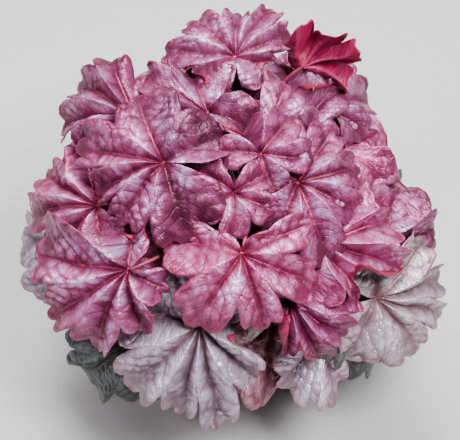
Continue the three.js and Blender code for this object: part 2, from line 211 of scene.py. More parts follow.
leafTones = {
    # valleys, body and puckers of the upper side, its veins and edge, and the underside; the valley tint is
    # also painted shade in the hollows, and the pucker tint a painted sheen
    "rose": ("#681436", "#b05080", "#f2d0fa", "#b82c54", "#b8406a", "#8a0a2e"),
    "plum": ("#50122e", "#9a4470", "#e2baee", "#9a2446", "#9a345e", "#7a082a"),
    "lilac": ("#5c1836", "#9a5078", "#e6ccf6", "#98345e", "#a84a74", "#8a0a2e"),
    "silver": ("#6e5660", "#ac98a6", "#ece4f8", "#8c4a54", "#b05a70", "#8a2040"),
    "tan": ("#70565c", "#b29aa2", "#eee4f2", "#8c4c54", "#b05a68", "#7c2a3c"),
    "greyGreen": ("#2c302a", "#565856", "#a0a4a6", "#443a38", "#704a50", "#542e36"),
    "magenta": ("#4e0c2c", "#923a68", "#daa6d2", "#b43064", "#a82452", "#860a3a"),
}
leafFinish = {
    "mainVein": 0.3,           # half width of a main vein at the stalk, mm
    "sideVein": 0.1,           # half width of a side vein, as a share of the way to the next
    "patches": 0.1, "specks": 1.1,             # how fine the uneven colour is, per mm
    "wrinkles": 0.34, "veinlets": 0.17,        # how small the cells of the skin are, per mm
    "patchContrast": 1.45, "speckContrast": 0.55,
    "paleShare": 0.65,         # how pale the puckers get: their silvery skin, with a painted sheen
    "mainVeinTint": 0.9, "sideVeinShade": 0.22, "veinletShade": 0.2, "edgeTint": 0.5,
    "roughness": 0.36,
    "metal": 0.45,             # the silvery skin of the leaf
    "relief": 0.27 * mm,       # height of the finest wrinkles
    "underRoughness": 0.42,
    "underVeinTint": 0.4,
}


def tintsOf(tone):
    return dict(zip(("deep", "body", "pale", "vein", "edge", "under"), map(colour, leafTones[tone])))


def veinletsOf(w, flat):
    # a fine net of lines between small cells
    return w.step(w.cells(flat, leafFinish["veinlets"], "DISTANCE_TO_EDGE"), 0.01, 0.16, 1.0, 0.0)


def leafTop(tone):
    f, tints = leafFinish, tintsOf(tone)
    w = Wiring("leaf_" + tone)
    aside, row, reach = w.split(w.kept("veinPlace"))
    flat = w.kept("leafPlane")
    blister, crest, _ = w.split(w.kept("raised"))
    patches = w.grain(flat, f["patches"], 2.0, 0.5)
    specks = w.grain(flat, f["specks"], 3.0, 0.6)
    mainLine = w.step(aside, f["mainVein"], 2.6 * f["mainVein"], 1.0, 0.0)
    mainLine = w.times(mainLine, w.step(reach, 0.1, 0.9, 1.0, 0.2))
    sideLine = w.step(w.maths("PINGPONG", row, 0.5), 0.01, f["sideVein"], 1.0, 0.0)
    sideLine = w.times(sideLine, w.step(reach, 0.7, 1.0, 0.8, 0.3))
    sideLine = w.times(sideLine, w.step(aside, 0.3, 1.6, 0.0, 1.0))
    wrinkles = w.step(w.cells(flat, f["wrinkles"], "DISTANCE_TO_EDGE"), 0.0, 0.35)
    veinlets = w.times(veinletsOf(w, flat), w.step(aside, 1.0, 4.0, 0.0, 1.0))
    # deep in the valleys, pale on the crests between the veins and on the blisters: painted shade in the
    # hollows and a painted sheen on the raised parts, over the leaf's own silvery and uneven colour
    lift = w.scaled(blister, 0.5, w.times(crest, 0.4))
    lift = w.scaled(w.maths("SUBTRACT", patches, 0.5), f["patchContrast"], lift)
    lift = w.scaled(w.maths("SUBTRACT", specks, 0.5), f["speckContrast"], lift)
    tint = w.blend(w.step(lift, 0.0, 0.45, 0.15, 1.0), tints["deep"], tints["body"])
    tint = w.blend(w.step(lift, 0.35, 1.15, 0.0, f["paleShare"]), tint, tints["pale"])
    # darker towards the stalk and beside the main veins: their own deeper colour, with painted shade in the
    # funnel round the stalk and in the vein grooves
    tint = w.blend(w.step(reach, 0.0, 0.3, 0.6, 0.0), tint, tints["deep"])
    tint = w.blend(w.step(aside, 0.4, 3.6, 0.55, 0.0), tint, tints["deep"])
    tint = w.blend(w.times(veinlets, f["veinletShade"]), tint, tints["deep"])
    tint = w.blend(w.times(sideLine, f["sideVeinShade"]), tint, tints["deep"])
    tint = w.blend(w.times(mainLine, f["mainVeinTint"]), tint, tints["vein"])
    tint = w.blend(w.step(reach, 0.955, 1.0, 0.0, f["edgeTint"]), tint, tints["edge"])
    # each leaf lighter or darker as a whole, with painted shade on its shaded lobes and on leaves that lie
    # in shadow
    tint = w.blend(1.0, tint, w.kept("shade", "Color"), "MULTIPLY")
    height = w.scaled(specks, 0.7, w.times(wrinkles, 0.5))
    height = w.scaled(sideLine, -1.2, w.scaled(veinlets, -0.9, height))
    rough = w.scaled(specks, 0.16, f["roughness"])
    return w.finish(tint, rough, w.bump(height, f["relief"]), Metallic=f["metal"], Specular_IOR_Level=0.5)


def leafUnder(tone):
    f, tints = leafFinish, tintsOf(tone)
    w = Wiring("leaf_" + tone + "_under")
    aside, row, reach = w.split(w.kept("veinPlace"))
    flat = w.kept("leafPlane")
    _, crest, small = w.split(w.kept("raised"))
    mainRidge = w.step(aside, 0.4, 1.5, 1.0, 0.0)
    sideRidge = w.step(w.maths("PINGPONG", row, 0.5), 0.02, f["sideVein"], 0.7, 0.0)
    ridge = w.maths("MAXIMUM", mainRidge, w.times(sideRidge, w.step(reach, 0.2, 0.5)))
    veinlets = veinletsOf(w, flat)
    patches = w.grain(flat, 1.2 * f["patches"], 3.0, 0.6)
    tint = w.blend(w.step(patches, 0.35, 0.7, 0.0, 0.7), tints["under"], tints["deep"])
    # painted highlight: a little paler on the raised bulges of the underside
    tint = w.blend(w.times(w.times(crest, small), 0.15), tint, tints["body"])
    tint = w.blend(w.times(veinlets, 0.15), tint, tints["vein"])
    tint = w.blend(w.times(ridge, f["underVeinTint"]), tint, tints["vein"])
    height = w.scaled(veinlets, 0.5, ridge)
    return w.finish(tint, f["underRoughness"], w.bump(height, f["relief"]), Specular_IOR_Level=0.35)


tops = {tone: leafTop(tone) for tone in leafTones}
unders = {tone: leafUnder(tone) for tone in leafTones}
print("leaf materials ready:", len(tops))

leafForm = {
    # sizes are shares of the leaf's own size unless they say mm
    "thickness": 0.7,          # mm
    "sinus": 17,               # half of the open angle where the stalk joins, degrees
    "notch": 0.76,             # depth between lobes, as a share of the lobes beside it
    "roundness": 3.2,          # how square the shoulders of a lobe are
    "tooth": 0.03,
    # the angle of each main vein in degrees, and how long its lobe is
    "lobes": [(-122, 0.8), (-60, 0.95), (0, 1), (60, 0.95), (122, 0.8)],
    "droop": 0.2, "bowl": 0.08, "pleat": 0.078, "ripple": 0.055, "fold": 0.0,
    "innerReach": 0.55,        # where the solid's inner ring of corners lies
    "roundEnd": 0.05,          # how much a lobe's end curves back, as shares of the size
    "bumpSize": 0.105, "toothSize": 0.018,
    "bumps": 3,                # on each lobe
    "teeth": (9, 11),          # on each lobe of a small and of a large leaf
    "largeFrom": 45,           # mm
    "ruffle": 0.044,           # small waves at the edge
    "ruffles": (9, 17),        # how many coarse and fine ones go round it
    "softPleat": 0.125,        # pleats along the main veins
    "slit": 0.5,               # from open notches between the lobes, 0, to narrow slits, 1
    "closed": 0.6,             # how far out the two sides of the sinus lie together
    "longer": [],              # where the blade reaches further: angle, half width and how much
    "shaded": [],              # painted shade on lobes that lie in shadow: angle, half width and how dark
    "shade": 1.0,              # lighter or darker than its tone: the leaf's own colour on most, painted shade on those low in shadow
    "curls": [],               # where the edge rolls over: angle, half width, length in mm and turn
    "sideVeins": 0.165,        # from one side vein to the next, along the main vein
    "sideSlope": 0.8,          # how far out a side vein runs for each step aside
    "blister": (0.15, 0.058),  # length along the side veins, and height
    "creaseDepth": 0.75,       # of the creases across a pillow, as a share of its height
    "puffed": (0.8, 0.9, 30),  # how high the pillows stand, how much that varies, and over what distance, mm
    "stray": (13, 20),         # how far the side veins wander, and over what distance, mm
    "pucker": (4.5, 0.6),      # size and height of the small wrinkles, mm
    "arch": 4.6,               # rise between two main veins, mm
    "veinDepth": 2.2, "veinWidth": 2.6,        # mm, and so are the next two
    "veinClear": 2.4, "notchWidth": 2.6,       # how near a main vein and a notch the pillows end
    "rim": 0.05,               # how far the very edge turns down
    "wander": (5.0, 26),       # how far the veins and lobes stray, and over what distance, mm
    "columnSpacing": 1.35, "ringSpacing": 1.4, "farSpacing": 2.1,      # of the mesh, mm
}
nearLeaves = [
    # name, tone, heart of the blade in mm, azimuth and elevation that it faces, turn, size, what differs
    ("leaf_top", "lilac", (4, 24, 286), (-86, 62), 178, 48,
     dict(lobes=[(-100, .62), (-66, .9), (-34, 1.02), (-6, .82), (45, .92), (84, 1.08), (112, .72)],
          sinus=40, notch=0.8, closed=3, curls=[(-116, 24, 13, 165), (126, 14, 9, 170)])),
    ("leaf_upright", "magenta", (54, 18, 282), (70, -20), -140, 43,
     dict(lobes=[(-48, .85), (-14, 1.05), (20, 1.05), (54, .9)], sinus=100, notch=0.7, fold=0.2)),
    ("leaf_left_upper", "plum", (-47, -69, 273), (-112, 56), -84, 62,
     dict(lobes=[(-140, .7), (-54, .9), (0, 1.1), (28, .92), (64, .85), (118, .9)], closed=1.8,
          # painted shade on the folded right lobe and the lower right lobe
          shaded=[(-112, 62, 0.5), (122, 50, 0.6)])),
    ("leaf_top_drooping", "lilac", (-18, -12, 277), (-104, 54), -48, 48,
     dict(lobes=[(-100, .85), (-50, 1.1), (-10, .9), (32, .8), (70, .85), (115, .8)],
          curls=[(-28, 15, 13, 175), (12, 13, 11, 175), (52, 13, 11, 175), (92, 16, 12, 175)])),
    ("leaf_heart", "rose", (3, -93, 270), (-88, 55), -5, 32, dict(shade=(0.92, 1, 1))),
    ("leaf_crown", "plum", (22, -66, 280), (-80, 60), 135, 35, {}),
    ("leaf_front", "rose", (8, -130, 246), (-88, 47), 0, 59,
     dict(lobes=[(-100, .98), (-37, 1.05), (16, .92), (65, .95), (112, .85)],
          sinus=48, notch=0.64, slit=0.1)),
    ("leaf_left_lower", "rose", (-72, -128, 226), (-111, 42), -50, 71,
     dict(lobes=[(-105, .42), (-30, 1.06), (5, 1.05), (36, .97), (72, .62), (130, .4)],
          curls=[(-112, 24, 8, 165)], shaded=[(-90, 50, 0.7)], shade=(0.8, 0.9, 0.88))),
    ("leaf_right_centre", "plum", (50, -78, 264), (-68, 55), 84, 47,
     dict(lobes=[(-127, .9), (-82, 1.3), (-36, 1), (2, .95), (42, 1), (98, .95)])),
    ("leaf_right", "rose", (71, -111, 235), (-66, 45), 82, 58,
     dict(lobes=[(-112, .8), (-62, .7), (-26, 1.12), (8, .95), (40, .95), (76, .83), (118, .7)],
          curls=[(-48, 24, 15, 175), (105, 16, 9, 165)], shade=(1.05, 1.2, 1.15))),
    ("leaf_top_left", "rose", (-76, -14, 274), (-140, 62), -72, 54,
     dict(lobes=[(-128, .55), (-84, .8), (-43, .87), (-5, 1), (32, 1.07), (75, .85)], shade=0.56)),
    ("leaf_young_left", "lilac", (-13, -62, 270), (-104, 58), -110, 32, {}),
    ("leaf_young_grey", "lilac", (30, -40, 272), (-73, 60), 150, 42, {}),
    ("leaf_young_plum", "plum", (-6, -36, 270), (-100, 62), -150, 40, {}),
    ("leaf_top_right", "lilac", (50, -26, 276), (-60, 60), 160, 46,
     dict(curls=[(91, 26, 19, 165), (-32, 28, 20, 165)])),
    ("leaf_top_back", "plum", (18, -12, 266), (-70, 62), 175, 40, {}),
    ("leaf_right_top", "lilac", (74, 0, 260), (-46, 58), 132, 42, {}),
    ("leaf_right_upper", "rose", (82, -32, 255), (-50, 58), 80, 48, {}),
    ("leaf_magenta", "magenta", (44, -140, 204), (-78, 38), 25, 52,
     dict(lobes=[(-100, .6), (-40, .8), (-8, 1.08), (22, .94), (60, .95), (110, .6)],
          curls=[(-70, 34, 22, 150), (-20, 14, 13, 165)])),
    ("leaf_left", "rose", (-96, -72, 230), (-124, 49), -80, 56,
     dict(lobes=[(-110, .7), (-52, .95), (-12, 1), (18, 1.05), (60, .85), (115, .6)], shade=0.84)),
    ("leaf_left_inner", "magenta", (-81, -106, 214), (-118, 41), -127, 36, dict(longer=[(-84, 50, 0.4)])),
    ("leaf_right_far", "rose", (96, -54, 238), (-46, 50), 84, 42, {}),
    ("leaf_bottom", "silver", (-21, -147, 187), (-95, 37), -3, 76,
     dict(lobes=[(-84, .78), (-40, 1), (-8, .95), (14, 1.12), (48, .75), (95, .42)],
          curls=[(85, 14, 8, 150)])),
    ("leaf_right_lower", "tan", (107, -105, 164), (-62, 34), 60, 66,
     dict(lobes=[(-100, .7), (-34, .97), (-6, 1.07), (20, .96), (52, .87), (105, .7)],
          softPleat=0.085, veinDepth=0.6)),
    ("leaf_right_edge", "plum", (119, -79, 190), (-51, 39), 76, 53, dict(shade=0.74, arch=0.5, ruffle=0.02)),
    ("leaf_olive", "greyGreen", (85, -112, 166), (-64, 32), 7, 55, {}),
    ("leaf_bottom_right", "silver", (80, -133, 139), (-73, 30), -2, 55, dict(shade=1.4)),
    ("leaf_bottom_dark", "plum", (38, -136, 158), (-84, 34), -8, 66, dict(shade=(1.0, 2.1, 1.05))),
    ("leaf_left_violet", "lilac", (-89, -78, 208), (-127, 44), -42, 34, {}),
    ("leaf_right_grey", "greyGreen", (106, -48, 208), (-40, 45), 67, 42, {}),
    ("leaf_left_grey", "silver", (-116, -70, 177), (-125, 40), -75, 56, {}),
    ("leaf_under_left", "plum", (-42, -120, 186), (-101, 38), -47, 40, dict(shade=(0.9, 1.8, 1.05))),
    # painted shade: this leaf lies low beneath the others
    ("leaf_bottom_left", "greyGreen", (-79, -116, 119), (-111, 24), -33, 56, dict(shade=0.6)),
    ("leaf_bottom_pale", "greyGreen", (99, -103, 126), (-63, 26), 23, 48,
     dict(arch=0.5, blister=(0.15, 0.02))),
]
farRows = [
    # name, count, first and last azimuth, radius and height in mm, elevation that they face, size, tones
    ("leaf_far_top", 2, (84, 136), 50, 248, 62, 48, ["lilac", "rose"]),
    ("leaf_far_upper", 4, (28, 158), 96, 210, 45, 56, ["rose", "plum"]),
    ("leaf_far_lower", 6, (2, 178), 116, 150, 26, 60, ["silver", "plum", "tan"]),
]
farWander = {"height": 10, "turn": 25}         # mm and degrees


def farLeaves():
    for name, count, (first, last), radius, height, elevation, size, tones in farRows:
        for i in range(count):
            azimuth = first + (last - first) * i / (count - 1)
            x, y = (radius * f(math.radians(azimuth)) for f in (math.cos, math.sin))
            hub = (x, y, height + farWander["height"] * math.sin(2 * i))
            turn = farWander["turn"] * math.sin(3 * i)
            yield f"{name}_{i + 1}", tones[i % len(tones)], hub, (azimuth, elevation), turn, size, {}


def direction(azimuth, elevation):
    a, e = math.radians(azimuth), math.radians(elevation)
    return np.array([math.cos(e) * math.cos(a), math.cos(e) * math.sin(a), math.sin(e)])


def unit(vector):
    return vector / np.linalg.norm(vector)


class Leaf:
    # where one leaf is, and the form of its blade

    def __init__(self, number, name, tone, hub, facing, turn, size, own):
        self.number, self.name, self.tone, self.size = number, name, tone, size
        self.form = {**leafForm, **own}
        self.hub = np.array(hub, float) - heart
        self.normal = direction(*facing)
        down = unit(self.normal * self.normal[2] - np.array([0, 0, 1.0]))
        across = np.cross(self.normal, down)
        angle = math.radians(turn)
        self.midrib = down * math.cos(angle) + across * math.sin(angle)
        self.cross = np.cross(self.normal, self.midrib)
        lobes, end = self.form["lobes"], 180 - self.form["sinus"]
        self.axes = np.radians([angle for angle, _ in lobes])
        self.lengths = np.array([length for _, length in lobes])
        between = (self.axes[1:] + self.axes[:-1]) / 2
        self.notches = np.concatenate([[math.radians(-end)], between, [math.radians(end)]])
        shared = (self.lengths[1:] + self.lengths[:-1]) / 2
        self.notchRadii = self.form["notch"] * np.concatenate([self.lengths[:1], shared, self.lengths[-1:]])

    def outline(self, lobe, place):
        # angle and radius at a place across a lobe, from -1 to 1
        share = np.abs(place)
        far = lobe + (place > 0)
        angle = self.axes[lobe] + (self.notches[far] - self.axes[lobe]) * share
        short = self.notchRadii[far] - self.lengths[lobe]
        radius = self.lengths[lobe] + short * share ** self.form["roundness"]
        return angle, radius + self.form["tooth"] * np.cos(3 * math.pi * place)

    def relief(self, angle, radius, place, reach):
        f = self.form
        return (f["bowl"] * (1 - np.exp(-radius / 0.2)) - f["droop"] * radius ** 2
                - f["pleat"] * reach ** 1.5 * np.cos(math.pi * place)
                + f["ripple"] * reach ** 2 * np.sin(4 * angle + self.number)
                + f["fold"] * radius * np.abs(np.sin(angle)))

    def points(self, angle, radius, height):
        angle, radius, height = (np.asarray(v, float)[..., None] for v in (angle, radius, height))
        return self.hub + self.size * (radius * np.cos(angle) * self.midrib
                                       + radius * np.sin(angle) * self.cross + height * self.normal)


bendSearch = {
    "steps": 3,                # corners of the solid on each side of a lobe
    "off": 0.03,               # how far from its ray a corner may be, mm
    "shares": (0.35, 1.02),    # how far out it may be, as a share of the unbent place
    "edgeOn": 0.5,             # below this a blade counts as edge on to the rays
    "smoothing": 10,           # rounds of smoothing over the fine grid
}


def bendShares(leaf):
    # how far each part of the blade is drawn in to the heart, to pass beneath the leaves over it:
    # the solid's two faces lie along the rays from the heart, or along its normal where it is edge on
    steps, (least, most) = bendSearch["steps"], bendSearch["shares"]
    lobe = np.repeat(np.arange(len(leaf.axes)), 2 * steps)
    place = np.tile(np.arange(-steps, steps) / steps, len(leaf.axes))
    lobe, place = np.append(lobe, lobe[-1]), np.append(place, 1.0)
    angle, length = leaf.outline(lobe, place)
    edgeOn = unit(leaf.hub) @ leaf.normal < bendSearch["edgeOn"]
    flatten = np.eye(3) - edgeOn * np.outer(leaf.normal, leaf.normal)
    corners = (pointsOf(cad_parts[leaf.name]) / mm - heart) @ flatten

    def shareAt(points):
        shares = []
        for point in np.asarray(points) @ flatten:
            along = corners @ point / (point @ point)
            off = np.linalg.norm(corners - along[:, None] * point, axis=1)
            near = along[(off < bendSearch["off"]) & (along > least) & (along < most)]
            shares.append((near.min() + near.max()) / 2 if len(near) else np.nan)
        shares, order = np.array(shares), np.arange(len(shares))
        known = ~np.isnan(shares)
        if not known.any():
            return np.ones(len(shares))
        return np.interp(order, order[known], shares[known])

    def ring(pick, reach):
        radius = reach * length[pick]
        height = leaf.relief(angle[pick], radius, place[pick], reach)
        return shareAt(leaf.points(angle[pick], radius, height))

    where = lobe + place / 2
    every, inner = np.arange(len(lobe)), np.arange(0, len(lobe), steps)
    return (where, ring(every, 1.0), where[inner], ring(inner, leaf.form["innerReach"]),
            shareAt([leaf.hub])[0])


def waveOf(flat, size, seed):
    return np.array([noise.noise(Vector((x / size, y / size, seed))) for x, y in flat])


def domesOf(flat, seed):
    # rounded cells with valleys between them, from 0 to 1
    near = [noise.voronoi(Vector((x, y, seed)))[0] for x, y in flat]
    rise = np.clip(np.array([second - first for first, second, *_ in near]) / 0.5, 0, 1)
    return np.sin(math.pi / 2 * rise)


def columnsOf(leaf):
    # the columns run round the leaf, lobe by lobe, with one on each main vein and in each notch
    spacing = leaf.form["farSpacing" if "far" in leaf.name else "columnSpacing"]
    widths = (leaf.notches[1:] - leaf.notches[:-1]) * leaf.lengths * leaf.size
    halves = 4 * np.maximum(2, np.round(widths / spacing / 8)).astype(int)
    lobe, place = [], []
    for i, half in enumerate(halves):
        across = np.linspace(-1, 1, 2 * half + 1)[: None if i == len(halves) - 1 else -1]
        lobe += [i] * len(across)
        place += list(0.6 * across + 0.4 * np.sin(math.pi / 2 * across))
    return np.array(lobe), np.array(place)


def edgeOf(leaf, lobe, place):
    # round lobes with slits between them, three bumps on each and small teeth all along:
    # how far across the lobe, the angle, and the radius with and without the bumps and teeth
    form, share = leaf.form, np.abs(place)
    lean = share + (np.sin(math.pi / 2 * share) ** 0.9 - share) * form["slit"]
    lean *= np.sign(place)
    far = lobe + (place > 0)
    angle = leaf.axes[lobe] + (leaf.notches[far] - leaf.axes[lobe]) * np.abs(lean)
    full = leaf.lengths[lobe] * (1 - form["roundEnd"] * lean ** 2)
    smooth = full + (leaf.notchRadii[far] - full) * share ** (2.6 + 2.4 * form["slit"])
    bumps = np.abs(np.cos(form["bumps"] * math.pi / 2 * lean)) ** 0.85 - 0.45
    few, many = form["teeth"]
    count = many if leaf.size >= form["largeFrom"] else few
    teeth = np.abs(np.cos(count * math.pi / 2 * lean)) ** 0.7 - 0.6
    fade = np.clip((1 - share) / 0.15, 0, 1)
    return lean, angle, smooth + fade * (form["bumpSize"] * bumps + form["toothSize"] * teeth), smooth


def bentBy(bend, leaf, lobe, place, reach, columns, rings):
    # the solid's bend beneath the leaves above, spread smoothly over the fine grid
    edgeAt, edgeShare, innerAt, innerShare, hubShare = bend
    where, inner = lobe + place / 2, leaf.form["innerReach"]
    atEdge, atInner = np.interp(where, edgeAt, edgeShare), np.interp(where, innerAt, innerShare)
    keep = np.where(reach < inner, hubShare + (atInner - hubShare) * reach / inner,
                    atInner + (atEdge - atInner) * (reach - inner) / (1 - inner))
    table = keep.reshape(columns, rings)
    for _ in range(bendSearch["smoothing"]):
        padded = np.pad(table, 1, mode="edge")
        near = padded[2:, 1:-1] + padded[:-2, 1:-1] + padded[1:-1, 2:] + padded[1:-1, :-2]
        table = (2 * table + near) / 6
    table[:, 0] = table[:, 0].mean()
    return table.ravel()


def thinColumns(blade, rings):
    # half as many columns over the inner half of the blade, and a quarter over the inner quarter
    bpy.ops.mesh.select_mode(type="EDGE")
    for every, inside in ((2, rings // 2), (4, rings // 4)):
        bpy.ops.mesh.select_all(action="DESELECT")
        leaveEdit()
        ends = np.empty(2 * len(blade.data.edges), int)
        blade.data.edges.foreach_get("vertices", ends)
        ends = ends.reshape(-1, 2)
        columnAt, ringAt = (np.empty(len(blade.data.vertices), int) for _ in range(2))
        blade.data.attributes["column"].data.foreach_get("value", columnAt)
        blade.data.attributes["ring"].data.foreach_get("value", ringAt)
        same = columnAt[ends[:, 0]] == columnAt[ends[:, 1]]
        odd = columnAt[ends[:, 0]] % every == every // 2
        blade.data.edges.foreach_set("select", same & odd & (ringAt[ends].max(1) <= inside))
        bpy.ops.object.mode_set(mode="EDIT")
        bpy.ops.mesh.dissolve_edges(use_verts=True)


def closedUp(leaf, angle, reach):
    # the two sides of the sinus close up near the stalk, all but a hair's breadth
    end = 180 - leaf.form["sinus"]
    last = np.abs(angle) / math.radians(end)
    closing = last ** 3 * np.clip(1.12 - reach / leaf.form["closed"], 0, 1)
    return angle * (1 + (180 / end - 1.004) * closing)


def flatPlaces(leaf, angle, radius):
    return leaf.size * radius[:, None] * np.stack([np.cos(angle), np.sin(angle)], 1)


def veinsOf(leaf, lobe, angle, radius, flat):
    # where each point lies among the veins: beside its main vein, along it to where its side vein
    # leaves, counted in side veins, and out along that side vein
    form, turned, far = leaf.form, angle - leaf.axes[lobe], leaf.size * radius
    along, aside = far * np.cos(turned), far * np.abs(np.sin(turned))
    slope = form["sideSlope"]
    stray, spread = form["stray"]
    run = along - slope * aside + stray * waveOf(flat, spread, leaf.number * 3.1)
    out = along + slope * aside + stray * waveOf(flat, spread, leaf.number * 3.1 + 70)
    return aside, run / (form["sideVeins"] * leaf.size), out


def pillowsOf(leaf, lobe, place, angle, radius, reach, flat, veins):
    # how high each point is on the pillows between the side veins, and on the small wrinkles
    form, (aside, row, out) = leaf.form, veins
    length, grain = form["blister"][0] * leaf.size, form["pucker"][0]
    # each pillow is crossed by a shallower crease or two at places of its own
    shift = 0.5 * np.sin(37 * np.floor(row) + leaf.number)
    creases = np.abs(np.sin(math.pi * (out / length + shift))) ** 0.7
    blister = np.abs(np.sin(math.pi * row)) ** 0.6 * (1 - form["creaseDepth"] * (1 - creases))
    toMain, fromHub = 1 - np.exp(-aside / form["veinClear"]), np.clip(reach / 0.25, 0, 1) ** 2
    usual, varied, patch = form["puffed"]
    strength = np.clip(usual + varied * waveOf(flat, patch, leaf.number * 1.3 + 20), 0.3, 1.2)
    blister *= toMain * fromHub * strength * (1 - 0.6 * reach ** 10)
    notch = leaf.notches[lobe + (place > 0)]
    onNotch = np.exp(-(leaf.size * radius * np.sin(notch - angle) / form["notchWidth"]) ** 2)
    onNotch *= np.abs(notch - angle) < 1
    blister += (0.5 * strength * fromHub - blister) * onNotch
    return blister, domesOf(flat / grain, leaf.number * 5.7) * toMain * fromHub


def heightOf(leaf, place, angle, radius, reach, aside, blister, crest, small):
    # the solid's form with softer pleats, its ruffles and all that is raised, as a share of the leaf's size
    form = leaf.form
    height = leaf.relief(angle, radius, place, reach)
    height += (form["pleat"] - form["softPleat"]) * reach ** 1.5 * np.cos(math.pi * place)
    coarse, fine = form["ruffles"]
    ruffles = np.sin(coarse * angle + 1.7 * leaf.number) + 0.7 * np.sin(fine * angle + leaf.number)
    height += form["ruffle"] * reach ** 4 * ruffles - form["rim"] * reach ** 8
    groove = np.exp(-aside / form["veinWidth"]) * (1 - 0.6 * reach)
    finer = form["pucker"][1] * small + form["arch"] * crest - form["veinDepth"] * groove
    return height + form["blister"][1] * blister + finer / leaf.size


def curled(leaf, angle, radius, height, smooth):
    # the edge rolls over in the places that the leaf's curls give
    size = leaf.size
    for at, half, long, turn in leaf.form["curls"]:
        apart = np.abs(np.degrees(angle) - at) / half
        weight = np.sin(math.pi / 2 * np.clip(1.3 - 1.3 * apart, 0, 1))
        start = size * smooth - long * weight
        beyond = np.maximum(size * radius - start, 0)
        tightness = math.radians(turn) / long
        height = height + (1 - np.cos(tightness * beyond)) / tightness / size
        radius = np.where(beyond > 0, start + np.sin(tightness * beyond) / tightness, size * radius) / size
    return radius, height


# the leaf's own lighter or darker colour, and painted shade on the lobes listed as shaded, where they lie in
# shadow
def shadeOf(leaf, angle, reach):
    shade = np.full((len(angle), 3), leaf.form["shade"], float)
    for at, half, dark in leaf.form["shaded"]:
        apart = np.abs(np.degrees(angle) - at) / half
        weight = np.clip(1.5 - 1.5 * apart, 0, 1) * np.clip(4 * reach, 0, 1)
        shade *= 1 + (dark - 1) * weight[:, None]
    return shade


def finishBlade(leaf, blade, rings):
    # thins the grid, closes it round the stalk and along the sinus, and gives it its wall
    editAll(blade)
    thinColumns(blade, rings)
    bpy.ops.mesh.select_mode(type="VERT")
    bpy.ops.mesh.select_all(action="SELECT")
    bpy.ops.mesh.remove_doubles(threshold=0.01 * mm)
    leaveEdit()
    for name in ("column", "ring"):
        blade.data.attributes.remove(blade.data.attributes[name])
    for material in (tops[leaf.tone], unders[leaf.tone]):
        blade.data.materials.append(material)
    wall = blade.modifiers.new("wall", "SOLIDIFY")
    wall.thickness = leaf.form["thickness"] * mm
    wall.offset = 0
    wall.material_offset = 1
    wall.material_offset_rim = 1
    applyAll(blade)
    bpy.ops.object.shade_smooth()


def makeBlade(leaf, bend):
    form, size = leaf.form, leaf.size
    lobe, place = columnsOf(leaf)
    columns = len(lobe)
    rings = round(size / form["farSpacing" if "far" in leaf.name else "ringSpacing"])
    selectNone()
    bpy.ops.mesh.primitive_grid_add(x_subdivisions=columns - 1, y_subdivisions=rings - 1, size=2)
    blade = bpy.context.object
    blade.name = blade.data.name = leaf.name.replace("_", "-") + "-blade"
    grid = pointsOf(blade)
    column = np.round((1 - grid[:, 0]) / 2 * (columns - 1)).astype(int)
    ring = np.round((grid[:, 1] + 1) / 2 * (rings - 1)).astype(int)
    reach = (ring / (rings - 1)) ** 0.9
    place, angle, edge, smooth = (values[column] for values in edgeOf(leaf, lobe, place))
    lobe = lobe[column]
    for at, half, more in form["longer"]:
        grown = 1 + more * np.clip(1 - np.abs(np.degrees(angle) - at) / half, 0, 1)
        edge, smooth = edge * grown, smooth * grown
    radius = reach * (smooth + (edge - smooth) * reach ** 6)
    angle = closedUp(leaf, angle, reach)
    flat = flatPlaces(leaf, angle, radius)
    aside, row, out = veinsOf(leaf, lobe, angle, radius, flat)
    blister, small = pillowsOf(leaf, lobe, place, angle, radius, reach, flat, (aside, row, out))
    # the leaf bulges between two main veins
    crest = np.sin(math.pi / 2 * np.abs(place)) * np.sin(math.pi * reach ** 0.8)
    height = heightOf(leaf, place, angle, radius, reach, aside, blister, crest, small)
    order = np.lexsort((ring, column))
    keep = np.empty(len(order))
    keep[order] = bentBy(bend, leaf, lobe[order], place[order], reach[order], columns, rings)
    radius, height = curled(leaf, angle, radius, height, smooth)
    x, y = flatPlaces(leaf, angle, radius).T
    # nothing in a leaf is quite straight
    far, spread = form["wander"]
    x += far * waveOf(flat, spread, leaf.number * 2.3) * reach
    y += far * waveOf(flat, spread, leaf.number * 2.3 + 50) * reach
    points = leaf.hub + x[:, None] * leaf.midrib + y[:, None] * leaf.cross
    points += (size * height)[:, None] * leaf.normal
    movePoints(blade, (points * keep[:, None] + heart) * mm)
    keepOn(blade, "veinPlace", np.stack([aside, row, reach], 1))
    keepOn(blade, "leafPlane", np.stack([x, y, np.full(len(x), leaf.number * 31.0)], 1))
    keepOn(blade, "shade", shadeOf(leaf, angle, reach))
    keepOn(blade, "raised", np.stack([blister, crest, small], 1))
    for name, values in (("column", column), ("ring", ring)):
        blade.data.attributes.new(name, "INT", "POINT").data.foreach_set("value", values)
    finishBlade(leaf, blade, rings)
    return blade


stalkForm = {
    "radius": 1.5, "footSize": 1.1, "tipSize": 0.86,       # mm, and the shares of it at the two ends
    "rootDepth": 4, "lowestRoot": 25, "rootSpacing": 0.25,
    "reach": 0.38, "rise": 0.5,
    # the sideways and upward bows that a stalk may take to clear the others, mm
    "bows": [0, 7, -7, 14, -14, 21, -21, 28, -28, 36, -36],
    "lifts": [0, -8, 8, -16, 16, 24, -24],
    "steps": 6,                # stretches between the rings of corners of a solid stalk
    "rounds": 200,             # of pushing the roots apart
    "segments": 22, "marks": 60,               # along the visible stalk, of its mesh and its colour
    "tints": ("#4e141f", "#8e2642", "#c06a84"),     # at the foot, at the tip, and of its streaks
}


